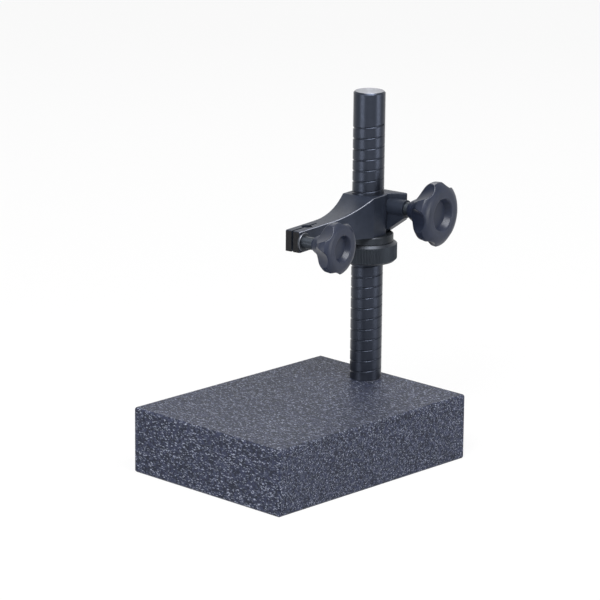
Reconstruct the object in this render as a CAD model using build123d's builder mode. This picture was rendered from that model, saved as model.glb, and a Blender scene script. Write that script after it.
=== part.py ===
"""Small comparator stand: granite plate, grooved column, height nut, and an arm with two clamps.

Millimetres, Z up. The origin is the centre of the plate's underside, X runs across the plate,
and Y runs from the nose of the arm back to the column.
"""

import os
from math import cos, pi, radians, sin

from build123d import *

os.makedirs("parts", exist_ok=True)

# Granite plate
plate_width = 150
plate_depth = 200
plate_height = 50
plate_edge = 1.4

# Column, a little left of the plate's centre line, near its back edge
column_x = -9.2
column_y = 80.4
column_radius = 12
column_top = 272
column_chamfer = 1.2
sliding_gap = 0.05
cut_margin = 1

# Right-hand groove that the height nut follows
groove_pitch = 8.2
groove_start = plate_height - 7.9
groove_turns = 25.05
groove_radius = 0.7
groove_centre_radius = column_radius + 0.05

# Column foot: a spigot in a bonded bush, pulled down by a screw from below
spigot_radius = 8
spigot_bottom = 30
bush_radius = 12
bush_bottom = 18
counterbore_radius = 11.5
foot_screw_radius = 5
foot_screw_end = 50
foot_thread_end = 54
foot_head_radius = 8
foot_head_height = 10
foot_head_chamfer = 0.7
foot_hex = 8
foot_hex_depth = 5
foot_washer_radius = 10
foot_washer_bore = 5.25
foot_washer_thickness = 2
spring_washer_radius = 9
spring_washer_thickness = 2.2
spring_washer_bore = 5.15
spring_washer_slit = 1.6
spring_washer_slant = 20

# Height nut and the ring between it and the arm
nut_radius = 22.5
nut_bottom = 142.5
nut_top = 157.5
nut_shoulder = 1.9
nut_collar_radius = 20
nut_bore_chamfer = 0.6
knurl_teeth = 120
knurl_depth = 0.45
pin_height = (nut_bottom + nut_top) / 2
pin_radius = 1.4
pin_tip_radius = 0.4
pin_tip = column_radius - 0.4
pin_end = 17.4
pin_screw_radius = 2
pin_screw_end = 21.6
pin_screw_hex = 2
pin_screw_hex_depth = 2
ring_radius = 19.6
ring_chamfer = 0.6
axial_gap = 0.05

# Arm, turned a little on the column as the photo shows it
swivel = 8
arm_bottom = nut_top + 6
arm_top = 194
hub_radius = 14.3
hub_front = 13
back_face = 18
back_left = -7
nose_half_width = 6.7
nose_tip = 96.7
nose_bottom = 167.5
nose_top = 183.2
sweep_end = 58
taper_end = 68
edge_round = 0.9
steepest_rim = 0.9
tip_round = 1.6
back_round = 5
side_round = 12

# Lug at the arm's rear that backs the clamp boss
lug_end = 23.6
lug_end_front = 15.6
lug_root_angle = 35
lug_root_round = 3
lug_end_round = 0.7
gusset_start = 9.8
gusset_slope = 0.74
gusset_thickness = 9
gusset_front = 5

# Column clamp: a screw square to the arm presses a brass pad on the column
boss_y = 11
boss_z = 183.5
boss_radius = 6.6
boss_end = 27.6
pad_radius = 5
pad_start = 2
pad_end = 15
pad_chamfer = 0.5
pad_bore_start = 1
pad_bore_end = 20
column_screw_radius = 4
column_screw_end = 48
column_neck_radius = 5.3
column_neck_start = boss_end + 0.4
column_neck_end = 32.6
column_knob_start = 31.4
column_knob_face = 60.4
column_knob_radius = 24.4
column_knob_turn = 4

# Indicator clamp at the split nose
indicator_bore_radius = 4
indicator_bore_y = -78.7
slit_width = 1.6
slit_end = -66.5
nose_screw_y = -92
nose_screw_z = 175
nose_screw_radius = 3
nose_screw_start = -6
nose_screw_end = 34
spot_face_radius = 7.3
spot_face_depth = 0.5
nose_washer_radius = 7
nose_washer_thickness = 1.6
nose_washer_bore = 3.2
nose_washer_chamfer = 0.4
nose_washer_start = nose_half_width - spot_face_depth + axial_gap
nose_neck_radius = 4.6
nose_neck_start = nose_washer_start + nose_washer_thickness + axial_gap
nose_neck_end = 18.2
nose_knob_start = 17
nose_knob_face = 42.1
nose_knob_radius = 19.7
nose_knob_turn = 15

# Lobed knob outline: place along the knob and radius, in parts of its length and radius
knob_back = (0, 0.24)
knob_flare = ((0.24, 0.42), (0.47, 0.78), (0.64, 0.965))
knob_rim = (0.75, 1)
knob_crown = 0.16
recess_radius = 0.55
recess_wall = (0.03, 0.495)
recess_floor = (0.2, 0.4)
knob_lobes = 6
knob_seam = 10
flute_radius = 0.5
flute_centre = 1.5
flute_lean = 28
flute_reach = 2
knob_edge_round = 0.04
screw_gap = 0.05
screw_chamfer = 1


def arm_point(across, back, height):
    """World point from distances right of and behind the column's axis, and its height."""
    turn = radians(swivel)
    x = column_x + across * cos(turn) - back * sin(turn)
    y = column_y + across * sin(turn) + back * cos(turn)
    return Vector(x, y, height)


to_right = Vector(cos(radians(swivel)), sin(radians(swivel)), 0)
to_back = Vector(-sin(radians(swivel)), cos(radians(swivel)), 0)
upward = Vector(0, 0, 1)

column_plan = Plane(origin=(column_x, column_y, 0))
arm_plan = Plane(origin=(column_x, column_y, 0), x_dir=to_right, z_dir=upward)
arm_side = Plane(origin=(column_x, column_y, 0), x_dir=-to_back, z_dir=-to_right)


def across_plane(across, back, height):
    """Plane square to the clamp screws, with X to the back and Y up."""
    return Plane(origin=arm_point(across, back, height), x_dir=to_back, z_dir=to_right)


def along_plane(back, height):
    """Plane that holds a clamp screw's axis, with X along it to the right and Y up."""
    return Plane(origin=arm_point(0, back, height), x_dir=to_right, z_dir=-to_back)


def in_arm(edge):
    """Middle of an edge, from the column's axis: right, back and up."""
    return arm_plan.to_local_coords(edge @ 0.5)


def arm_edges(edges, across=(-plate_width, plate_width), back=(-plate_depth, plate_depth)):
    """Edges whose middle lies between the given distances right of and behind the column's axis."""
    slack = 0.05
    return edges.filter_by(
        lambda edge: across[0] - slack <= in_arm(edge).X <= across[1] + slack
        and back[0] - slack <= in_arm(edge).Y <= back[1] + slack
    )


def finish_piece(piece, name):
    """Label a finished piece and write it."""
    piece.part.label = name
    export_step(piece.part, f"parts/{name}.step")


# Granite plate, bored for the bush and counterbored from below for the screw
with BuildPart() as granite_base:
    with BuildSketch(Plane.XY):
        Rectangle(plate_width, plate_depth)
    extrude(amount=plate_height)
    chamfer(granite_base.edges(), plate_edge)
    with BuildSketch(column_plan.offset(bush_bottom)):
        Circle(bush_radius)
    extrude(amount=plate_height - bush_bottom, mode=Mode.SUBTRACT)
    with BuildSketch(column_plan):
        Circle(counterbore_radius)
    extrude(amount=bush_bottom, mode=Mode.SUBTRACT)
finish_piece(granite_base, "granite_base")

# Steel bush bonded into the plate
with BuildPart() as column_bush:
    with BuildSketch(column_plan.offset(bush_bottom)):
        Circle(bush_radius)
        Circle(spigot_radius + screw_gap, mode=Mode.SUBTRACT)
    extrude(amount=plate_height - bush_bottom)
finish_piece(column_bush, "column_bush")

# Column with its spigot, its tapped foot and its groove
with BuildPart() as column:
    with BuildSketch(column_plan.offset(plate_height)):
        Circle(column_radius)
    extrude(amount=column_top - plate_height)
    chamfer(column.edges().group_by(Axis.Z)[-1], column_chamfer)
    with BuildSketch(column_plan.offset(spigot_bottom)):
        Circle(spigot_radius)
    extrude(amount=plate_height - spigot_bottom)
    with BuildSketch(column_plan.offset(spigot_bottom)):
        Circle(foot_screw_radius + screw_gap)
    extrude(amount=foot_thread_end - spigot_bottom, mode=Mode.SUBTRACT)
    with BuildLine(column_plan.offset(groove_start)) as groove_path:
        Helix(groove_pitch, groove_pitch * groove_turns, groove_centre_radius)
    with BuildSketch(Plane(origin=groove_path.line @ 0, z_dir=groove_path.line % 0)):
        Circle(groove_radius)
    sweep(path=groove_path.line, is_frenet=True, mode=Mode.SUBTRACT)
finish_piece(column, "column")

# Plain washer, spring washer and socket screw under the column, from above down
washer_bottom = bush_bottom - foot_washer_thickness
spring_bottom = washer_bottom - spring_washer_thickness
with BuildPart() as column_washer:
    with BuildSketch(column_plan.offset(washer_bottom)):
        Circle(foot_washer_radius)
        Circle(foot_washer_bore, mode=Mode.SUBTRACT)
    extrude(amount=foot_washer_thickness)
finish_piece(column_washer, "column_washer")

with BuildPart() as column_spring_washer:
    with BuildSketch(column_plan.offset(spring_bottom)):
        Circle(spring_washer_radius)
        Circle(spring_washer_bore, mode=Mode.SUBTRACT)
        with Locations((spring_washer_radius, 0)):
            Rectangle(
                spring_washer_radius, spring_washer_slit, rotation=spring_washer_slant, mode=Mode.SUBTRACT
            )
    extrude(amount=spring_washer_thickness)
finish_piece(column_spring_washer, "column_spring_washer")

head_bottom = spring_bottom - foot_head_height
with BuildPart() as column_bolt:
    with BuildSketch(column_plan.offset(head_bottom)):
        Circle(foot_head_radius)
    extrude(amount=foot_head_height)
    chamfer(column_bolt.edges().group_by(Axis.Z)[0], foot_head_chamfer)
    with BuildSketch(column_plan.offset(spring_bottom)):
        Circle(foot_screw_radius)
    extrude(amount=foot_screw_end - spring_bottom)
    with BuildSketch(column_plan.offset(head_bottom)):
        RegularPolygon(foot_hex / 2, 6, major_radius=False)
    extrude(amount=foot_hex_depth, mode=Mode.SUBTRACT)
finish_piece(column_bolt, "column_bolt")

# Height nut: straight knurl between two shoulders, and a stepped radial hole for pin and set screw
pin_turn = 2 * pi * (pin_height - groove_start) / groove_pitch
pin_plane = Plane(origin=(column_x, column_y, pin_height), z_dir=(cos(pin_turn), sin(pin_turn), 0))
knurl_points = []
for tooth in range(2 * knurl_teeth):
    tooth_radius = nut_radius - knurl_depth * (tooth % 2)
    tooth_angle = pi * tooth / knurl_teeth
    knurl_points.append((tooth_radius * cos(tooth_angle), tooth_radius * sin(tooth_angle)))
with BuildPart() as height_nut:
    with BuildSketch(column_plan.offset(nut_bottom)):
        with BuildLine():
            Polyline(*knurl_points, close=True)
        make_face()
    extrude(amount=nut_top - axial_gap - nut_bottom)
    with BuildSketch(Plane(origin=(column_x, column_y, 0), x_dir=(1, 0, 0), z_dir=(0, -1, 0))):
        with BuildLine():
            Polyline(
                (column_radius + sliding_gap + nut_bore_chamfer, nut_bottom),
                (nut_radius - nut_shoulder, nut_bottom),
                (nut_radius, nut_bottom + nut_shoulder),
                (nut_radius, nut_top - nut_shoulder),
                (nut_collar_radius, nut_top - axial_gap),
                (column_radius + sliding_gap, nut_top - axial_gap),
                (column_radius + sliding_gap, nut_bottom + nut_bore_chamfer),
                close=True,
            )
        make_face()
    revolve(axis=Axis((column_x, column_y, 0), (0, 0, 1)), mode=Mode.INTERSECT)
    with BuildSketch(pin_plane.offset(column_radius - cut_margin)):
        Circle(pin_radius + screw_gap)
    extrude(amount=pin_end - column_radius + cut_margin, mode=Mode.SUBTRACT)
    with BuildSketch(pin_plane.offset(pin_end)):
        Circle(pin_screw_radius + screw_gap)
    extrude(amount=nut_radius - pin_end, mode=Mode.SUBTRACT)
finish_piece(height_nut, "height_nut")

# Pin in the groove: a slim tip that runs in the groove, and a wider body held in the nut
pin_body_start = column_radius + 2 * sliding_gap
with BuildPart() as groove_pin:
    with BuildSketch(pin_plane.offset(pin_tip)):
        Circle(pin_tip_radius)
    extrude(amount=pin_body_start - pin_tip)
    with BuildSketch(pin_plane.offset(pin_body_start)):
        Circle(pin_radius)
    extrude(amount=pin_end - pin_body_start)
finish_piece(groove_pin, "groove_pin")

with BuildPart() as groove_pin_screw:
    with BuildSketch(pin_plane.offset(pin_end)):
        Circle(pin_screw_radius)
    extrude(amount=pin_screw_end - pin_end)
    with BuildSketch(pin_plane.offset(pin_screw_end)):
        RegularPolygon(pin_screw_hex / 2, 6, major_radius=False)
    extrude(amount=-pin_screw_hex_depth, mode=Mode.SUBTRACT)
finish_piece(groove_pin_screw, "groove_pin_screw")

# Smooth ring that the arm turns on
with BuildPart() as thrust_ring:
    with BuildSketch(column_plan.offset(nut_top)):
        Circle(ring_radius)
        Circle(column_radius + sliding_gap, mode=Mode.SUBTRACT)
    extrude(amount=arm_bottom - axial_gap - nut_top)
    chamfer(thrust_ring.edges().filter_by(GeomType.CIRCLE).sort_by(SortBy.RADIUS)[-2:], ring_chamfer)
finish_piece(thrust_ring, "thrust_ring")

# Arm casting: its side outline cut to its plan outline, then rounded from the corners to the top edges
sweep_rise = arm_top - nose_top
sweep_radius = ((sweep_end - hub_front) ** 2 + sweep_rise**2) / (2 * sweep_rise)
sweep_middle = (sweep_end + hub_front) / 2
sweep_middle_top = nose_top + sweep_radius - (sweep_radius**2 - (sweep_end - sweep_middle) ** 2) ** 0.5
with BuildPart() as arm:
    with BuildSketch(arm_side):
        with BuildLine():
            outline = Polyline(
                (hub_front, arm_top),
                (-back_face, arm_top),
                (-back_face, arm_bottom),
                (hub_front, arm_bottom),
                (sweep_end, nose_bottom),
                (nose_tip, nose_bottom),
                (nose_tip, nose_top),
                (sweep_end, nose_top),
            )
            ThreePointArc(outline @ 1, (sweep_middle, sweep_middle_top), outline @ 0)
        make_face()
    extrude(amount=lug_end, both=True)
    with BuildSketch(arm_plan.offset(arm_bottom)):
        with BuildLine():
            nose = Polyline(
                (-nose_half_width, -taper_end),
                (-nose_half_width, -nose_tip),
                (nose_half_width, -nose_tip),
                (nose_half_width, -taper_end),
            )
            right_taper = TangentArc(nose @ 1, (hub_radius, -hub_front), tangent=(0, 1))
            left_taper = TangentArc(nose @ 0, (-hub_radius, -hub_front), tangent=(0, 1))
            Line(right_taper @ 1, (hub_radius, 0))
            hub_side = CenterArc((0, 0), hub_radius, 0, lug_root_angle)
            Polyline(
                hub_side @ 1,
                (lug_end, lug_end_front),
                (lug_end, back_face),
                (back_left, back_face),
                (-hub_radius, 0),
                left_taper @ 1,
            )
        make_face()
    extrude(amount=arm_top - arm_bottom, mode=Mode.INTERSECT)
    for across, back, radius in (
        ((-nose_half_width, nose_half_width), (-nose_tip, -nose_tip), tip_round),
        ((back_left, 0), (hub_front, back_face), back_round),
        ((-hub_radius, back_left), (0, 0), side_round),
        ((pad_radius, hub_radius), (0, hub_front), lug_root_round),
        ((lug_end, lug_end), (0, back_face), lug_end_round),
    ):
        fillet(arm_edges(arm.edges().filter_by(Axis.Z), across, back), radius)
    upper_rims = arm.edges().filter_by(lambda edge: (edge @ 0.5).Z > nose_top - screw_gap)
    level_rims = upper_rims.filter_by(lambda edge: abs((edge % 0.5).Z) < steepest_rim)
    front_rims = arm_edges(level_rims, back=(-nose_tip, -hub_front - edge_round))
    side_rims = front_rims.filter_by(
        lambda edge: abs(in_arm(edge).X) > slit_width or in_arm(edge).Y < -taper_end
    )
    fillet(side_rims, edge_round)
    fillet(arm_edges(arm.edges().group_by(Axis.Z)[-1], back=(edge_round - hub_front, back_face)), edge_round)

    # Diagonal cut below the lug, the gusset on the same slope, and the clamp boss
    gusset_rise = gusset_slope * (boss_end - gusset_start)
    with BuildSketch(along_plane(gusset_front, 0)):
        with BuildLine():
            Polyline(
                (gusset_start, arm_bottom - cut_margin),
                (gusset_start, arm_bottom),
                (boss_end, arm_bottom + gusset_rise),
                (boss_end, arm_bottom - cut_margin),
                close=True,
            )
        make_face()
    extrude(amount=gusset_front - back_face - cut_margin, mode=Mode.SUBTRACT)
    with BuildSketch(along_plane(boss_y, 0)):
        with BuildLine():
            Polyline(
                (column_radius / 2, arm_bottom),
                (gusset_start, arm_bottom),
                (boss_end, arm_bottom + gusset_rise),
                (boss_end, boss_z),
                (column_radius / 2, boss_z),
                close=True,
            )
        make_face()
    extrude(amount=gusset_thickness / 2, both=True)
    with BuildSketch(across_plane(0, boss_y, boss_z)):
        Circle(boss_radius)
    extrude(amount=boss_end)

    # Column bore, and the cross bore for the pad with its tapped end
    with BuildSketch(arm_plan.offset(arm_bottom)):
        Circle(column_radius + sliding_gap)
    extrude(amount=arm_top - arm_bottom, mode=Mode.SUBTRACT)
    with BuildSketch(across_plane(pad_bore_start, boss_y, boss_z)):
        Circle(pad_radius + screw_gap)
    extrude(amount=pad_bore_end - pad_bore_start, mode=Mode.SUBTRACT)
    with BuildSketch(across_plane(pad_bore_end, boss_y, boss_z)):
        Circle(column_screw_radius + screw_gap)
    extrude(amount=boss_end - pad_bore_end, mode=Mode.SUBTRACT)

    # Nose: the indicator's bore, the slit that lets it close, the screw's hole and its spot face
    with BuildSketch(arm_plan.offset(nose_bottom)):
        with Locations((0, indicator_bore_y)):
            Circle(indicator_bore_radius)
        with Locations((0, (slit_end - nose_tip) / 2)):
            Rectangle(slit_width, nose_tip + slit_end)
    extrude(amount=nose_top - nose_bottom, mode=Mode.SUBTRACT)
    with BuildSketch(across_plane(-nose_half_width, nose_screw_y, nose_screw_z)):
        Circle(nose_screw_radius + screw_gap)
    extrude(amount=2 * nose_half_width, mode=Mode.SUBTRACT)
    with BuildSketch(across_plane(nose_half_width - spot_face_depth, nose_screw_y, nose_screw_z)):
        Circle(spot_face_radius)
    extrude(amount=spot_face_depth, mode=Mode.SUBTRACT)
finish_piece(arm, "arm")


def lobed_knob(back, height, start, face, radius, turn, neck, screw):
    """Trumpet-shaped grip with round lobes and a dished face, bored for its screw.

    neck and screw are pairs: radius, and how far the bore reaches from the column's axis.
    """
    length = face - start
    neck_radius, neck_end = neck
    screw_radius, screw_end = screw
    axis_origin = arm_point(0, back, height)
    flare_shape = (knob_back, *knob_flare, knob_rim)
    flare_points = [(start + place * length, size * radius) for place, size in flare_shape]
    seam = radians(turn + knob_seam)
    seam_outward = to_back * cos(seam) + upward * sin(seam)
    with BuildPart() as knob:
        with BuildSketch(Plane(origin=axis_origin, x_dir=to_right, z_dir=to_right.cross(seam_outward))):
            with BuildLine():
                flare = Spline(*flare_points, tangents=[(1, 1), (1, 0)])
                rim = Line(flare @ 1, (face - knob_crown * radius, radius))
                flat = Line((face, (1 - 2 * knob_crown) * radius), (face, recess_radius * radius))
                TangentArc(flat @ 0, rim @ 1, tangent=(0, 1))
                wall_depth, wall_radius = recess_wall
                floor_depth, floor_radius = recess_floor
                lip_end = (face - wall_depth * radius, wall_radius * radius)
                lip = TangentArc(flat @ 1, lip_end, tangent=(0, -1))
                floor_edge = (face - floor_depth * radius, floor_radius * radius)
                Polyline(lip @ 1, floor_edge, (face - floor_depth * radius, 0), (start, 0), flare @ 0)
            make_face()
        revolve(axis=Axis(axis_origin, to_right))
        for lobe in range(knob_lobes):
            angle = radians(turn + 360 * lobe / knob_lobes)
            outward = to_back * cos(angle) + upward * sin(angle)
            flute_axis = to_right * cos(radians(flute_lean)) + outward * sin(radians(flute_lean))
            flute_origin = arm_point(face, back, height) + outward * (flute_centre * radius)
            with BuildSketch(Plane(origin=flute_origin, z_dir=flute_axis)):
                Circle(flute_radius * radius)
            extrude(amount=flute_reach * length, both=True, mode=Mode.SUBTRACT)
        inner_radius = (recess_radius + knob_edge_round) * radius
        outer_edges = knob.edges().filter_by(
            lambda edge: ((edge @ 0.5) - axis_origin).cross(to_right).length > inner_radius
        )
        fillet(outer_edges, knob_edge_round * radius)
        with BuildSketch(across_plane(start, back, height)):
            Circle(neck_radius + screw_gap)
        extrude(amount=neck_end - start, mode=Mode.SUBTRACT)
        with BuildSketch(across_plane(neck_end, back, height)):
            Circle(screw_radius + screw_gap)
        extrude(amount=screw_end - neck_end, mode=Mode.SUBTRACT)
    return knob


def clamp_screw(back, height, start, neck_start, neck_radius, neck_end, radius, end):
    """Screw with a wider plain neck, moulded into its knob by its far end."""
    with BuildPart() as screw:
        with BuildSketch(across_plane(start, back, height)):
            Circle(radius)
        extrude(amount=end - start)
        chamfer(screw.edges().filter_by(GeomType.CIRCLE), screw_chamfer)
        with BuildSketch(across_plane(neck_start, back, height)):
            Circle(neck_radius)
        extrude(amount=neck_end - neck_start)
    return screw


# Column clamp
column_clamp_knob = lobed_knob(
    boss_y,
    boss_z,
    column_knob_start,
    column_knob_face,
    column_knob_radius,
    column_knob_turn,
    neck=(column_neck_radius, column_neck_end),
    screw=(column_screw_radius, column_screw_end),
)
finish_piece(column_clamp_knob, "column_clamp_knob")

column_clamp_screw = clamp_screw(
    boss_y,
    boss_z,
    pad_end + axial_gap,
    column_neck_start,
    column_neck_radius,
    column_neck_end,
    column_screw_radius,
    column_screw_end,
)
finish_piece(column_clamp_screw, "column_clamp_screw")

# Brass pad, hollowed to the column
with BuildPart() as column_clamp_pad:
    with BuildSketch(across_plane(pad_start, boss_y, boss_z)):
        Circle(pad_radius)
    extrude(amount=pad_end - pad_start)
    chamfer(column_clamp_pad.edges().filter_by(GeomType.CIRCLE), pad_chamfer)
    with BuildSketch(arm_plan.offset(arm_bottom)):
        Circle(column_radius + sliding_gap)
    extrude(amount=arm_top - arm_bottom, mode=Mode.SUBTRACT)
finish_piece(column_clamp_pad, "column_clamp_pad")

# Indicator clamp
indicator_clamp_knob = lobed_knob(
    nose_screw_y,
    nose_screw_z,
    nose_knob_start,
    nose_knob_face,
    nose_knob_radius,
    nose_knob_turn,
    neck=(nose_neck_radius, nose_neck_end),
    screw=(nose_screw_radius, nose_screw_end),
)
finish_piece(indicator_clamp_knob, "indicator_clamp_knob")

indicator_clamp_screw = clamp_screw(
    nose_screw_y,
    nose_screw_z,
    nose_screw_start,
    nose_neck_start,
    nose_neck_radius,
    nose_neck_end,
    nose_screw_radius,
    nose_screw_end,
)
finish_piece(indicator_clamp_screw, "indicator_clamp_screw")

with BuildPart() as indicator_clamp_washer:
    with BuildSketch(across_plane(nose_washer_start, nose_screw_y, nose_screw_z)):
        Circle(nose_washer_radius)
        Circle(nose_washer_bore, mode=Mode.SUBTRACT)
    extrude(amount=nose_washer_thickness)
    outer_rims = indicator_clamp_washer.edges().filter_by(GeomType.CIRCLE).sort_by(SortBy.RADIUS)[-2:]
    chamfer(outer_rims, nose_washer_chamfer)
finish_piece(indicator_clamp_washer, "indicator_clamp_washer")
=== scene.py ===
"""Comparator stand on a granite plate: its finishes, its studio and its camera."""

from __future__ import annotations

import logging
import math
from dataclasses import dataclass, field
from enum import Enum
from typing import Any

import bmesh
import bpy
from mathutils import Matrix, Vector

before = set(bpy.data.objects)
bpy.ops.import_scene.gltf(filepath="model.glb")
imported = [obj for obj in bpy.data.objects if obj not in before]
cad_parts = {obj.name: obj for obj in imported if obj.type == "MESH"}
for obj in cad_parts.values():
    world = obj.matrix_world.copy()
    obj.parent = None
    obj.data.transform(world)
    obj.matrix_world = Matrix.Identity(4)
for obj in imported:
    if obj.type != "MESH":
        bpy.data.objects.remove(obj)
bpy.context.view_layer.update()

logging.basicConfig(level=logging.INFO, format="%(message)s")
log = logging.getLogger("comparator_stand")

Colour = tuple[float, float, float]
Turn = tuple[float, float, float]
Pair = tuple[float, float]

MM = 0.001

COLUMN_AXIS = Vector((-9.2 * MM, 80.4 * MM, 0))
REAR_SCREW = Vector((-10.731 * MM, 91.293 * MM, 183.5 * MM))
NOSE_SCREW = Vector((3.604 * MM, -10.705 * MM, 175.0 * MM))
ARM_SWIVEL = math.radians(8.0)

WHITE: Colour = (1.0, 1.0, 1.0)
BRASS: Colour = (0.6, 0.45, 0.2)
BRASS_TINT: Colour = (0.5, 0.36, 0.15)

# The part of a noise's range that most of it fills, a whole range, and a range turned round
BROAD: Pair = (0.3, 0.7)
FULL: Pair = (0.0, 1.0)
FADING: Pair = (1.0, 0.0)

SURFACE_IOR = 1.5
QUARTER_TURN = 0.25


class Slot(Enum):
    """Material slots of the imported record."""

    GRANITE = "granite"
    COLUMN_STEEL = "column_steel"
    BLACK_STEEL = "black_steel"
    FASTENER_STEEL = "fastener_steel"
    ARM_IRON = "arm_iron"
    KNOB_PLASTIC = "knob_plastic"
    PAD_BRASS = "pad_brass"


@dataclass(frozen=True)
class Noise:
    """Soft noise over a piece.

    Attributes:
        scale: Number of waves in a metre.
        detail: Number of finer layers.
        rough: Strength of the finer layers.
    """

    scale: float
    detail: float = 4.0
    rough: float = 0.6


class NodeTree:
    """Node tree of a material or a world, with short calls that add and join its nodes."""

    def __init__(self, owner: bpy.types.Material | bpy.types.World) -> None:
        """Start an empty tree.

        Args:
            owner: Material or world that the tree belongs to.
        """
        owner.use_nodes = True
        owner.node_tree.nodes.clear()
        self.owner = owner
        self.tree = owner.node_tree

    def add(self, kind: str, inputs: dict[Any, Any] | None = None, **settings: Any) -> bpy.types.Node:
        """Add one node.

        Args:
            kind: Type of the node, without its ShaderNode prefix.
            inputs: Value or output socket for each input, by name or number.
            settings: Properties of the node.

        Returns:
            The new node.
        """
        node = self.tree.nodes.new("ShaderNode" + kind)
        for key, value in settings.items():
            setattr(node, key, value)
        for key, value in (inputs or {}).items():
            if isinstance(value, bpy.types.NodeSocket):
                self.tree.links.new(value, node.inputs[key])
            else:
                node.inputs[key].default_value = value
        return node

    def place(self, origin: Vector = Vector((0, 0, 0))) -> bpy.types.NodeSocket:
        """Give the place on the piece.

        Args:
            origin: Point in metres that becomes zero.

        Returns:
            Socket of the place.
        """
        coords = self.add("TexCoord").outputs["Object"]
        return self.add("VectorMath", {0: coords, 1: tuple(origin)}, operation="SUBTRACT").outputs[0]

    def math(
        self, operation: str, first: Any, second: Any = 0.0, clamp: bool = False
    ) -> bpy.types.NodeSocket:
        """Join two numbers.

        Args:
            operation: Name of the sum.
            first: First number or socket.
            second: Second number or socket.
            clamp: Whether the result is kept between 0 and 1.

        Returns:
            Socket of the result.
        """
        return self.add("Math", {0: first, 1: second}, operation=operation, use_clamp=clamp).outputs[0]

    def dot(self, vector: Any, direction: Vector) -> bpy.types.NodeSocket:
        """Measure a vector along a direction.

        Args:
            vector: Socket of the vector.
            direction: Direction of length 1.

        Returns:
            Socket of the length along the direction.
        """
        node = self.add("VectorMath", {0: vector, 1: tuple(direction)}, operation="DOT_PRODUCT")
        return node.outputs["Value"]

    def slant(self, direction: Vector) -> bpy.types.NodeSocket:
        """Measure how squarely the surface faces along a direction or against it.

        Args:
            direction: Direction of length 1.

        Returns:
            Socket that is 1 where the surface is square to the direction.
        """
        normal = self.add("TexCoord").outputs["Normal"]
        return self.math("ABSOLUTE", self.dot(normal, direction))

    def span(self, value: Any, source: Pair, target: Pair = FULL) -> bpy.types.NodeSocket:
        """Map a number's span smoothly to another span.

        Args:
            value: Socket of the number.
            source: Lowest and highest value that are told apart.
            target: Result at the lowest and at the highest value.

        Returns:
            Socket of the result.
        """
        names = ("Value", "From Min", "From Max", "To Min", "To Max")
        inputs = dict(zip(names, (value, *source, *target)))
        return self.add("MapRange", inputs, interpolation_type="SMOOTHSTEP").outputs["Result"]

    def mix(self, amount: Any, first: Any, second: Any) -> bpy.types.NodeSocket:
        """Mix two colours.

        Args:
            amount: Socket of the share of the second colour.
            first: First colour or socket.
            second: Second colour or socket.

        Returns:
            Socket of the mixed colour.
        """
        first, second = (rgba(value) if isinstance(value, tuple) else value for value in (first, second))
        return self.add("Mix", {0: amount, 6: first, 7: second}, data_type="RGBA").outputs[2]

    def noise(self, place: Any, noise: Noise, output: str = "Fac") -> bpy.types.NodeSocket:
        """Give soft noise.

        Args:
            place: Socket of the place.
            noise: The noise.
            output: Name of the output, Fac for a number or Color for three of them.

        Returns:
            Socket of the noise, from 0 to 1.
        """
        inputs = {"Vector": place, "Scale": noise.scale, "Detail": noise.detail, "Roughness": noise.rough}
        return self.add("TexNoise", inputs).outputs[output]

    def bump(self, height: Any, depth: float) -> bpy.types.NodeSocket:
        """Turn a height into a normal.

        Args:
            height: Socket of the height, from 0 to 1.
            depth: Depth in metres of the full height.

        Returns:
            Socket of the normal.
        """
        inputs = {"Height": height, "Distance": depth, "Strength": 1.0}
        return self.add("Bump", inputs).outputs["Normal"]

    def seen(self) -> bpy.types.NodeSocket:
        """Tell the rays that see the background.

        Returns:
            Socket that is 1 for those rays.
        """
        path = self.add("LightPath").outputs
        both = self.math("ADD", path["Is Camera Ray"], path["Is Glossy Ray"])
        return self.math("ADD", both, path["Is Transmission Ray"], clamp=True)

    def finish(self, values: dict[str, Any]) -> bpy.types.Material:
        """Close a material's tree with its surface shader.

        Args:
            values: Value or output socket for each of the shader's inputs.

        Returns:
            The finished material.
        """
        shader = self.add("BsdfPrincipled", values)
        self.add("OutputMaterial", {"Surface": shader.outputs["BSDF"]})
        return self.owner


def rgba(colour: Colour) -> tuple[float, float, float, float]:
    """Give a colour with full cover."""
    return (*colour, 1.0)


def shaded(colour: Colour, share: float) -> Colour:
    """Give a darker colour that keeps a share of the light."""
    red, green, blue = colour
    return (share * red, share * green, share * blue)


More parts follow.
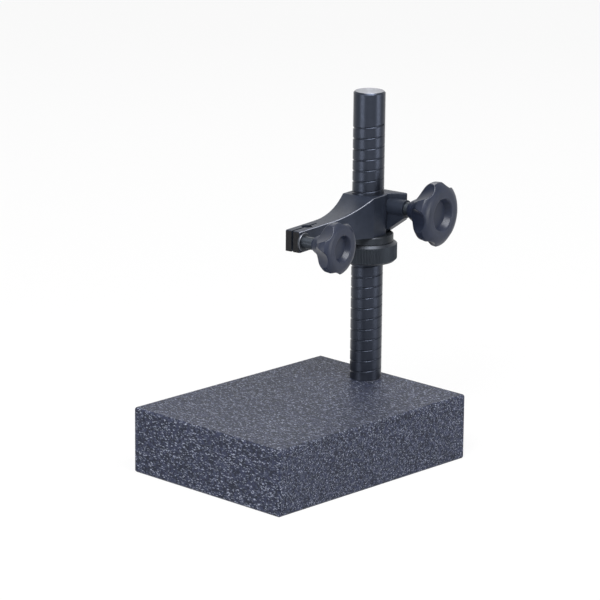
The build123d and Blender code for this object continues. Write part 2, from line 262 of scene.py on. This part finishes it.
@dataclass(frozen=True)
class GraniteFinish:
    """Dark salt and pepper granite, ground all over.

    Attributes:
        dark: Colour of the dark grains.
        middle: Colour of the middle grains.
        light: Colour of the light flecks.
        grain_scale: Number of grains in a metre.
        grain_span: Part of the grains' range that goes from dark to middle.
        fleck_scale: Number of flecks in a metre.
        stretch: Length of a fleck over its width.
        turns: Turn of each layer of flecks, in radians about each axis.
        share: Share of the flecks that are left out.
        share_blur: Share of the flecks that are only half there.
        core: Distances from a fleck's middle at which its fade starts and ends.
        strength: Weakest and strongest fleck.
        warp: Noise that bends the grains.
        warp_depth: Metres by which it bends them.
        patches: Noise of the roughness.
        rough: Lowest and highest roughness.
        pores: Noise of the height.
        grain_step: Height of the grains beside the pores.
        depth: Depth of the full height in metres.
        specular: Strength of the gloss.
    """

    dark: Colour = (0.007, 0.010, 0.022)
    middle: Colour = (0.023, 0.028, 0.057)
    light: Colour = (0.34, 0.37, 0.47)
    grain_scale: float = 480.0
    grain_span: Pair = (0.25, 0.9)
    fleck_scale: float = 1180.0
    stretch: float = 3.4
    turns: tuple[Turn, ...] = ((0.5, 0.3, 0.4), (1.2, -0.6, 1.3), (-0.4, 1.1, 2.2), (0.9, 2.3, -0.8))
    share: float = 0.77
    share_blur: float = 0.03
    core: Pair = (0.16, 0.50)
    strength: Pair = (0.15, 1.0)
    warp: Noise = Noise(700.0, 2.0, 0.5)
    warp_depth: float = 1.8 * MM
    patches: Noise = Noise(700.0)
    rough: Pair = (0.54, 0.68)
    pores: Noise = Noise(1100.0)
    grain_step: float = 0.4
    depth: float = 0.04 * MM
    specular: float = 0.22

    def build(self) -> bpy.types.Material:
        """Make the material.

        Returns:
            The granite material.
        """
        tree = NodeTree(bpy.data.materials.new(Slot.GRANITE.value))
        place = tree.place()
        bent = self.bend(tree, place)
        grains = tree.add("TexVoronoi", {"Vector": bent, "Scale": self.grain_scale}).outputs["Color"]
        grain = tree.add("SeparateColor", {"Color": grains})
        colour = tree.mix(tree.span(grain.outputs[0], self.grain_span), self.dark, self.middle)
        flecks: Any = 0.0
        for turn in self.turns:
            flecks = tree.math("MAXIMUM", flecks, self.fleck_layer(tree, bent, turn))
        step = tree.math("MULTIPLY", grain.outputs[1], self.grain_step)
        return tree.finish({
            "Base Color": tree.mix(flecks, colour, self.light),
            "Roughness": tree.span(tree.noise(place, self.patches), BROAD, self.rough),
            "Normal": tree.bump(tree.math("ADD", tree.noise(place, self.pores), step), self.depth),
            "IOR": SURFACE_IOR,
            "Specular IOR Level": self.specular,
        })

    def bend(self, tree: NodeTree, place: Any) -> bpy.types.NodeSocket:
        """Bend the place, so that the grains get crooked edges.

        Args:
            tree: Node tree of the granite.
            place: Socket of the place.

        Returns:
            Socket of the bent place.
        """
        warp = tree.noise(place, self.warp, "Color")
        centred = tree.add("VectorMath", {0: warp, 1: (0.5, 0.5, 0.5)}, operation="SUBTRACT").outputs[0]
        shift = tree.add("VectorMath", {0: centred, "Scale": self.warp_depth}, operation="SCALE").outputs[0]
        return tree.add("VectorMath", {0: place, 1: shift}, operation="ADD").outputs[0]

    def fleck_layer(self, tree: NodeTree, place: Any, turn: Turn) -> bpy.types.NodeSocket:
        """Add one layer of light flecks that lie one way.

        Args:
            tree: Node tree of the granite.
            place: Socket of the place.
            turn: Turn of the layer about each axis.

        Returns:
            Socket of the flecks' strength.
        """
        squeeze = (1.0 / self.stretch, 1.0, 1.0)
        turned = tree.add("Mapping", {"Vector": place, "Rotation": turn, "Scale": squeeze}).outputs[0]
        cells = tree.add("TexVoronoi", {"Vector": turned, "Scale": self.fleck_scale})
        pick = tree.add("SeparateColor", {"Color": cells.outputs["Color"]})
        chosen = tree.span(pick.outputs[0], (self.share, self.share + self.share_blur))
        core = tree.span(cells.outputs["Distance"], self.core, FADING)
        strength = tree.span(pick.outputs[1], FULL, self.strength)
        return tree.math("MULTIPLY", tree.math("MULTIPLY", chosen, core), strength)


@dataclass(frozen=True)
class TurnedSteelFinish:
    """Steel that was turned or ground around an upright or level axis.

    Attributes:
        slot: Slot that the material fills.
        colour: Colour of the steel.
        tint: Colour of its darker patches.
        origin: Point on the axis of turning.
        axis: Direction of the axis.
        rough: Lowest and highest roughness.
        lines: Noise of the turning lines.
        lines_span: Part of the lines' range that is told apart.
        depth: Depth of the turning lines in metres.
        spread: How much wider a highlight is across the lines than along them.
        metal: How much of the surface is bare metal under its blacking.
        specular: Strength of the gloss where it isn't bare metal.
        bare_above: Height in metres above which the steel is bare and bright, 1 for nowhere.
        bare_blur: Metres over which it turns bare.
        bare: Colour of the bare steel, on the bare top and as the painted highlight on the rims.
        rim_highlight: Strength of the painted highlight on the slanted rims.
        rim_start: Slants at which a rim starts.
        rim_end: Slants at which a rim ends.
        rim_patches: Part of the small patches' range that a rim shows.
        rim_strength: Weakest and strongest place of a rim.
        cloud: Noise of the large patches.
        smear: Noise of the small patches.
        smear_span: Part of the small patches' range that darkens the steel.
        smear_rough: Part of the small patches' range that makes it rougher.
        smear_most: The most that they make it rougher.
    """

    slot: Slot
    colour: Colour
    tint: Colour
    origin: Vector = Vector((0, 0, 0))
    axis: Vector = Vector((0, 0, 1))
    rough: Pair = (0.34, 0.46)
    lines: Noise = Noise(2200.0, 2.0)
    lines_span: Pair = (0.25, 0.75)
    depth: float = 0.006 * MM
    spread: float = 0.7
    metal: float = 1.0
    specular: float = 0.25
    bare_above: float = 1.0
    bare_blur: float = 0.1 * MM
    bare: Colour = (0.165, 0.17, 0.195)
    rim_highlight: float = 0.0
    rim_start: Pair = (0.35, 0.5)
    rim_end: Pair = (0.85, 0.95)
    rim_patches: Pair = (0.3, 0.6)
    rim_strength: Pair = (0.7, 1.0)
    cloud: Noise = Noise(60.0)
    smear: Noise = Noise(420.0, 3.0)
    smear_span: Pair = (0.3, 0.75)
    smear_rough: Pair = (0.35, 0.7)
    smear_most: float = 0.05

    def build(self) -> bpy.types.Material:
        """Make the material.

        Returns:
            The steel material.
        """
        tree = NodeTree(bpy.data.materials.new(self.slot.value))
        place = tree.place(self.origin)
        lines = tree.noise(self.turning(tree, place), self.lines)
        smear = tree.noise(place, self.smear)
        even = tree.span(lines, self.lines_span, self.rough)
        uneven = tree.span(smear, self.smear_rough, (0.0, self.smear_most))
        around = tree.add("VectorMath", {0: tuple(self.axis), 1: place}, operation="CROSS_PRODUCT").outputs[0]
        return tree.finish({
            "Base Color": self.shade(tree, place, smear),
            "Metallic": self.metal,
            "Specular IOR Level": self.specular,
            "Roughness": tree.math("ADD", even, uneven),
            "Normal": tree.bump(lines, self.depth),
            "Anisotropic": self.spread,
            "Anisotropic Rotation": QUARTER_TURN,
            "Tangent": around,
        })

    def turning(self, tree: NodeTree, place: Any) -> bpy.types.NodeSocket:
        """Give the place along the axis and out from it, so that noise over it runs in rings.

        Args:
            tree: Node tree of the steel.
            place: Socket of the place.

        Returns:
            Socket of that place.
        """
        along = tree.dot(place, self.axis)
        off = tree.add("VectorMath", {0: place}, operation="LENGTH").outputs["Value"]
        squared = tree.math("SUBTRACT", tree.math("POWER", off, 2.0), tree.math("POWER", along, 2.0))
        out = tree.math("SQRT", tree.math("MAXIMUM", squared, 0.0))
        return tree.add("CombineXYZ", {0: along, 1: out}).outputs[0]

    def shade(self, tree: NodeTree, place: Any, smear: Any) -> bpy.types.NodeSocket:
        """Colour the steel, with its patches, its bare top and its rims.

        Args:
            tree: Node tree of the steel.
            place: Socket of the place.
            smear: Socket of the small patches.

        Returns:
            Socket of the colour.
        """
        cloud = tree.span(tree.noise(place, self.cloud), BROAD)
        wear = tree.math("MULTIPLY", cloud, tree.span(smear, self.smear_span))
        colour = tree.mix(wear, self.colour, self.tint)
        height = tree.add("SeparateXYZ", {"Vector": place}).outputs["Z"]
        half = self.bare_blur / 2
        bare = tree.span(height, (self.bare_above - half, self.bare_above + half))
        colour = tree.mix(bare, colour, self.bare)
        # Painted highlight: the slanted rims are mixed toward the bare colour.
        return tree.mix(tree.math("MULTIPLY", self.rims(tree, smear), self.rim_highlight), colour, self.bare)

    def rims(self, tree: NodeTree, smear: Any) -> bpy.types.NodeSocket:
        """Find the slanted rims between the ends and the round sides.

        Args:
            tree: Node tree of the steel.
            smear: Socket of the small patches.

        Returns:
            Socket that is 1 where the rims get the painted highlight.
        """
        slant = tree.slant(self.axis)
        start, end = tree.span(slant, self.rim_start), tree.span(slant, self.rim_end, FADING)
        patches = tree.span(smear, self.rim_patches, self.rim_strength)
        return tree.math("MULTIPLY", tree.math("MULTIPLY", start, end), patches)


@dataclass(frozen=True)
class BlackedSteelFinish(TurnedSteelFinish):
    """Turned steel under its blacking, as TurnedSteelFinish describes it."""

    slot: Slot = Slot.BLACK_STEEL
    colour: Colour = (0.028, 0.034, 0.044)
    tint: Colour = (0.023, 0.028, 0.036)
    rough: Pair = (0.38, 0.48)
    metal: float = 0.5
    # Full painted highlight on the slanted rims.
    rim_highlight: float = 1.0


@dataclass(frozen=True)
class CastFinish:
    """Satin dark coating over cast iron, with a painted highlight along its upper rims.

    Attributes:
        axis: Point on the column's axis.
        across: Direction square to the arm's sides.
        colour: Colour of the coating.
        tint: Colour of its lighter patches.
        rim_highlight: Colour of the painted highlight on its rims.
        front: Place behind which the painted rim highlight is weaker.
        front_blur: Metres over which it turns weaker.
        behind: Strength of the painted rim highlight behind that place.
        rim_start: Slants to the side at which a rim starts.
        rim_end: Slants to the side at which a rim ends.
        rim_up: Slants upward at which a rim starts.
        rim_grain: Part of the grain's range that a rim shows.
        rim_strength: Weakest and strongest place of a rim.
        nose_end_colour: Darker, greyer colour of the nose's end faces.
        tip: Distance of those ends from the column's axis.
        tip_blur: Distances before the tip at which the ends' colour starts and is full.
        cloud: Noise of the patches.
        grain: Noise of the fine grain.
        rough: Lowest and highest roughness.
        depth: Depth of the grain in metres.
        specular: Strength of the gloss.
    """

    axis: Vector
    across: Vector
    colour: Colour = (0.018, 0.023, 0.036)
    tint: Colour = (0.025, 0.031, 0.048)
    # Pale colour of the painted rim highlight.
    rim_highlight: Colour = (0.42, 0.44, 0.52)
    front: float = 66.0 * MM
    front_blur: float = 4 * MM
    behind: float = 0.3
    rim_start: Pair = (0.42, 0.60)
    rim_end: Pair = (0.78, 0.92)
    rim_up: Pair = (0.25, 0.40)
    rim_grain: Pair = (0.3, 0.6)
    rim_strength: Pair = (0.75, 1.0)
    nose_end_colour: Colour = (0.0105, 0.0105, 0.012)
    tip: float = 96.7 * MM
    tip_blur: Pair = (0.4 * MM, 0.1 * MM)
    cloud: Noise = Noise(90.0)
    grain: Noise = Noise(1300.0, 3.0)
    rough: Pair = (0.38, 0.5)
    depth: float = 0.015 * MM
    specular: float = 0.10

    def build(self) -> bpy.types.Material:
        """Make the material.

        Returns:
            The coating's material.
        """
        tree = NodeTree(bpy.data.materials.new(Slot.ARM_IRON.value))
        place = tree.place()
        grain = tree.noise(place, self.grain)
        colour = tree.mix(tree.span(tree.noise(place, self.cloud), BROAD), self.colour, self.tint)
        # The nose's end faces get a darker, greyer colour.
        colour = tree.mix(self.nose_ends(tree), colour, self.nose_end_colour)
        return tree.finish({
            # Painted highlight: the arm's upper rims are mixed toward a pale colour, weaker at the back.
            "Base Color": tree.mix(self.rims(tree, place, grain), colour, self.rim_highlight),
            "Roughness": tree.span(grain, BROAD, self.rough),
            "Normal": tree.bump(grain, self.depth),
            "IOR": SURFACE_IOR,
            "Specular IOR Level": self.specular,
        })

    def nose_ends(self, tree: NodeTree) -> bpy.types.NodeSocket:
        """Find the end faces of the nose.

        Args:
            tree: Node tree of the coating.

        Returns:
            Socket that is 1 on those faces.
        """
        forward = Vector((self.across.y, -self.across.x, 0.0))
        start, full = self.tip_blur
        return tree.span(tree.dot(tree.place(self.axis), forward), (self.tip - start, self.tip - full))

    def rims(self, tree: NodeTree, place: Any, grain: Any) -> bpy.types.NodeSocket:
        """Find the round rims between the arm's top and its sides.

        Args:
            tree: Node tree of the coating.
            place: Socket of the place.
            grain: Socket of the fine grain.

        Returns:
            Socket that is 1 where the rims get the painted highlight.
        """
        sideways = tree.slant(self.across)
        normal = tree.add("TexCoord").outputs["Normal"]
        up = tree.add("SeparateXYZ", {"Vector": normal}).outputs["Z"]
        back = tree.add("SeparateXYZ", {"Vector": place}).outputs["Y"]
        shares = (
            tree.span(sideways, self.rim_end, FADING),
            tree.span(up, self.rim_up),
            tree.span(back, (self.front, self.front + self.front_blur), (1.0, self.behind)),
            tree.span(grain, self.rim_grain, self.rim_strength),
        )
        strip = tree.span(sideways, self.rim_start)
        for share in shares:
            strip = tree.math("MULTIPLY", strip, share)
        return strip


@dataclass(frozen=True)
class MouldedFinish:
    """Satin moulded plastic.

    Attributes:
        colour: Colour of the plastic.
        tint: Colour of its handled places.
        cloud: Noise of the handled places.
        grain: Noise of the mould's grain.
        rough: Lowest and highest roughness.
        depth: Depth of the grain in metres.
        specular: Strength of the gloss.
    """

    colour: Colour = (0.014, 0.019, 0.035)
    tint: Colour = (0.018, 0.023, 0.043)
    cloud: Noise = Noise(120.0)
    grain: Noise = Noise(2400.0, 2.0, 0.5)
    rough: Pair = (0.34, 0.42)
    depth: float = 0.008 * MM
    specular: float = 0.22

    def build(self) -> bpy.types.Material:
        """Make the material.

        Returns:
            The plastic's material.
        """
        tree = NodeTree(bpy.data.materials.new(Slot.KNOB_PLASTIC.value))
        place = tree.place()
        cloud = tree.noise(place, self.cloud)
        return tree.finish({
            "Base Color": tree.mix(tree.span(cloud, BROAD), self.colour, self.tint),
            "Roughness": tree.span(cloud, BROAD, self.rough),
            "Normal": tree.bump(tree.noise(place, self.grain), self.depth),
            "IOR": SURFACE_IOR,
            "Specular IOR Level": self.specular,
        })


def dress(node: str, material: bpy.types.Material) -> None:
    """Give a CAD node its material.

    Args:
        node: Name of the CAD node.
        material: Material that it gets.
    """
    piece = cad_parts[node]
    piece.data.materials.clear()
    piece.data.materials.append(material)
    log.info("%s: %d faces, %s", node, len(piece.data.polygons), material.name)


@dataclass
class GranitePlate:
    """Granite plate that carries the stand.

    Attributes:
        finish: Its finish.
    """

    finish: GraniteFinish = field(default_factory=GraniteFinish)

    def build(self) -> None:
        """Dress the plate."""
        dress("granite_base", self.finish.build())


@dataclass
class GroovedColumn:
    """Column with its groove, and the small steel pieces that hold it and run in it.

    Attributes:
        axis: Point on the column's axis.
        top: Height of its ground end face.
        colour: Colour of its ground side.
        tint: Colour of the side's darker patches.
        steel: Colour of the small pieces.
        steel_tint: Colour of their darker patches.
        small: Nodes of the small pieces.
    """

    axis: Vector
    top: float = 271.9 * MM
    colour: Colour = (0.029, 0.034, 0.048)
    tint: Colour = (0.025, 0.030, 0.042)
    steel: Colour = (0.35, 0.35, 0.36)
    steel_tint: Colour = (0.26, 0.26, 0.27)
    small: tuple[str, ...] = (
        "column_bush",
        "column_bolt",
        "column_washer",
        "column_spring_washer",
        "groove_pin",
        "groove_pin_screw",
    )

    def build(self) -> None:
        """Dress the column and the small pieces."""
        ground = TurnedSteelFinish(
            Slot.COLUMN_STEEL,
            self.colour,
            self.tint,
            self.axis,
            rough=(0.30, 0.38),
            depth=0.003 * MM,
            spread=0.5,
            metal=0.85,
            bare_above=self.top,
        )
        dress("column", ground.build())
        plain = TurnedSteelFinish(
            Slot.FASTENER_STEEL, self.steel, self.steel_tint, self.axis, rough=(0.3, 0.4)
        )
        material = plain.build()
        for node in self.small:
            dress(node, material)


@dataclass
class HeightNut:
    """Knurled nut that sets the arm's height, and the ring over it.

    Attributes:
        axis: Point on the column's axis.
        colour: Colour of the nut.
        tint: Colour of its darker patches.
        rim_highlight: Strength of the painted highlight on the rims.
        ring_shade_share: Share of the nut's colour that the ring keeps, as painted shade.
    """

    axis: Vector
    colour: Colour = (0.021, 0.026, 0.034)
    tint: Colour = (0.017, 0.021, 0.028)
    rim_highlight: float = 0.15
    ring_shade_share: float = 0.7

    def build(self) -> None:
        """Dress the nut and the ring over it."""
        # The ring is painted darker than the nut: painted shade.
        for node, share in (("height_nut", 1.0), ("thrust_ring", self.ring_shade_share)):
            # A weak painted highlight on the rims of both pieces.
            steel = BlackedSteelFinish(
                colour=shaded(self.colour, share),
                tint=shaded(self.tint, share),
                origin=self.axis,
                rough=(0.42, 0.52),
                rim_highlight=self.rim_highlight,
            )
            dress(node, steel.build())


@dataclass
class ClampArm:
    """Swept arm with its split nose.

    Attributes:
        finish: Its finish.
    """

    finish: CastFinish

    def build(self) -> None:
        """Dress the arm."""
        dress("arm", self.finish.build())


@dataclass
class ClampHandle:
    """Lobed knob with its screw and what the screw presses on.

    Attributes:
        knob: Node of the knob.
        screw: Node of the screw.
        end: Node at the screw's end.
        origin: Point on the screw's axis.
        axis: Direction of the screw's axis.
        plastic: Material of the knob.
        end_metal: Material of the end, or none for the screw's own.
    """

    knob: str
    screw: str
    end: str
    origin: Vector
    axis: Vector
    plastic: bpy.types.Material
    end_metal: bpy.types.Material | None = None

    def build(self) -> None:
        """Dress the handle."""
        steel = BlackedSteelFinish(origin=self.origin, axis=self.axis).build()
        dress(self.knob, self.plastic)
        dress(self.screw, steel)
        dress(self.end, self.end_metal or steel)


@dataclass(frozen=True)
class Lamp:
    """One soft lamp that faces the stand.

    Attributes:
        name: Name of the lamp.
        azimuth: Degrees from straight in front to the right.
        rise: Degrees above level.
        distance: Distance from the stand in metres.
        size: Width and height of its face in metres.
        power: Power in watts.
        only_shine: Whether it makes highlights and lights nothing else.
    """

    name: str
    azimuth: float
    rise: float
    distance: float
    size: Pair
    power: float
    only_shine: bool = False

    def hang(self, aim: Vector) -> None:
        """Hang the lamp.

        Args:
            aim: Point that it faces.
        """
        turn, lift = math.radians(self.azimuth), math.radians(self.rise)
        way = Vector((math.sin(turn) * math.cos(lift), -math.cos(turn) * math.cos(lift), math.sin(lift)))
        data = bpy.data.lights.new(self.name, "AREA")
        data.shape = "RECTANGLE"
        data.size, data.size_y = self.size
        data.energy = self.power
        lamp = bpy.data.objects.new(self.name, data)
        bpy.context.scene.collection.objects.link(lamp)
        lamp.location = aim + self.distance * way
        lamp.rotation_euler = (-way).to_track_quat("-Z", "Y").to_euler()
        lamp.visible_camera = False
        lamp.visible_diffuse = not self.only_shine


@dataclass
class Studio:
    """Pale floor and soft lamps around the stand.

    Attributes:
        aim: Point that the lamps face.
        sky: Strength of the soft light from all around.
        lamps: The lamps.
        floor: Colour of the floor.
        floor_noise: Noise of its roughness.
        floor_rough: Lowest and highest roughness.
        floor_white: Share of plain white in it where it is seen.
        floor_reach: Half of its width in metres.
        floor_parts: Number of its squares along each side.
    """

    aim: Vector = field(default_factory=lambda: Vector((0.0, 0.0, 0.15)))
    sky: float = 0.3
    lamps: tuple[Lamp, ...] = (
        Lamp("key_lamp", 30.0, 45.0, 1.5, (0.6, 0.6), 14.0),
        Lamp("top_lamp", 85.0, 60.0, 1.5, (0.6, 0.6), 11.0),
        Lamp("front_lamp", -8.5, 0.5, 1.3, (0.7, 0.26), 6.5),
        Lamp("right_lamp", 113.0, 0.5, 1.3, (0.6, 0.26), 5.5),
        Lamp("left_lamp", -140.0, 36.0, 1.4, (0.5, 0.35), 2.8),
        Lamp("shine_lamp", 62.0, 62.0, 1.5, (1.0, 1.5), 56.0, only_shine=True),
    )
    floor: Colour = (0.86, 0.86, 0.86)
    floor_noise: Noise = Noise(40.0, 3.0, 0.5)
    floor_rough: Pair = (0.9, 1.0)
    floor_white: float = 0.9
    floor_reach: float = 3.0
    floor_parts: int = 8

    def build(self) -> None:
        """Set the floor, the lamps and the world."""
        self.lay_floor()
        self.set_world()
        for lamp in self.lamps:
            lamp.hang(self.aim)

    def lay_floor(self) -> None:
        """Lay the floor."""
        tree = NodeTree(bpy.data.materials.new("studio_floor"))
        rough = tree.span(tree.noise(tree.place(), self.floor_noise), FULL, self.floor_rough)
        diffuse = tree.add("BsdfDiffuse", {"Color": rgba(self.floor), "Roughness": rough})
        white = tree.add("Emission", {"Color": rgba(WHITE), "Strength": 1.0})
        share = tree.math("MULTIPLY", tree.seen(), self.floor_white)
        mixed = tree.add("MixShader", {0: share, 1: diffuse.outputs[0], 2: white.outputs[0]})
        tree.add("OutputMaterial", {"Surface": mixed.outputs[0]})
        mesh = bmesh.new()
        parts = self.floor_parts
        bmesh.ops.create_grid(mesh, x_segments=parts, y_segments=parts, size=self.floor_reach)
        data = bpy.data.meshes.new("studio_floor")
        mesh.to_mesh(data)
        mesh.free()
        data.materials.append(tree.owner)
        floor = bpy.data.objects.new("studio_floor", data)
        bpy.context.scene.collection.objects.link(floor)
        log.info("studio_floor: %d faces", len(data.polygons))

    def set_world(self) -> None:
        """Set the world's light and the white background."""
        world = bpy.data.worlds.new("studio")
        bpy.context.scene.world = world
        tree = NodeTree(world)
        soft = tree.add("Background", {"Color": rgba(WHITE), "Strength": self.sky})
        white = tree.add("Background", {"Color": rgba(WHITE), "Strength": 1.0})
        mixed = tree.add("MixShader", {0: tree.seen(), 1: soft.outputs[0], 2: white.outputs[0]})
        tree.add("OutputWorld", {"Surface": mixed.outputs[0]})


@dataclass
class PhotoCamera:
    """Camera at the photograph's viewing angle.

    Attributes:
        azimuth: Degrees from straight in front to the right.
        elevation: Degrees above level.
        distance: Distance to its target in metres.
        target: Point that it faces.
        lens: Focal length in millimetres.
        sensor: Width of the sensor in millimetres.
        roll: Degrees that it leans.
        sight: Distance in metres up to which it sees.
    """

    azimuth: float = 43.714
    elevation: float = 15.018
    distance: float = 2.447038
    target: Vector = field(default_factory=lambda: Vector((-0.004616, 0.002713, 0.126037)))
    lens: float = 198.7983
    sensor: float = 36.0
    roll: float = 0.542
    sight: float = 20.0

    def build(self) -> None:
        """Place the camera and make it the scene's own."""
        turn, rise, lean = (math.radians(value) for value in (self.azimuth, self.elevation, self.roll))
        back = Vector((math.sin(turn) * math.cos(rise), -math.cos(turn) * math.cos(rise), math.sin(rise)))
        right = Vector((math.cos(turn), math.sin(turn), 0))
        up = back.cross(right)
        leaned = (
            math.cos(lean) * right + math.sin(lean) * up,
            math.cos(lean) * up - math.sin(lean) * right,
            back,
        )
        data = bpy.data.cameras.new("photo_camera")
        data.lens = self.lens
        data.sensor_width = self.sensor
        data.clip_end = self.sight
        camera = bpy.data.objects.new("photo_camera", data)
        bpy.context.scene.collection.objects.link(camera)
        pose = Matrix.Identity(4)
        for column, direction in enumerate(leaned):
            for row in range(3):
                pose[row][column] = direction[row]
        pose.translation = self.target + self.distance * back
        camera.matrix_world = pose
        bpy.context.scene.camera = camera


def main() -> None:
    """Build the stand's pieces, the studio and the camera."""
    across = Vector((math.cos(ARM_SWIVEL), math.sin(ARM_SWIVEL), 0))
    GranitePlate().build()
    GroovedColumn(COLUMN_AXIS).build()
    HeightNut(COLUMN_AXIS).build()
    ClampArm(CastFinish(COLUMN_AXIS, across)).build()
    plastic = MouldedFinish().build()
    brass = TurnedSteelFinish(Slot.PAD_BRASS, BRASS, BRASS_TINT, REAR_SCREW, across).build()
    ClampHandle(
        "column_clamp_knob", "column_clamp_screw", "column_clamp_pad", REAR_SCREW, across, plastic, brass
    ).build()
    ClampHandle(
        "indicator_clamp_knob", "indicator_clamp_screw", "indicator_clamp_washer", NOSE_SCREW, across, plastic
    ).build()
    Studio().build()
    PhotoCamera().build()
    bpy.context.scene.view_settings.view_transform = "Standard"


if __name__ == "__main__":
    main()
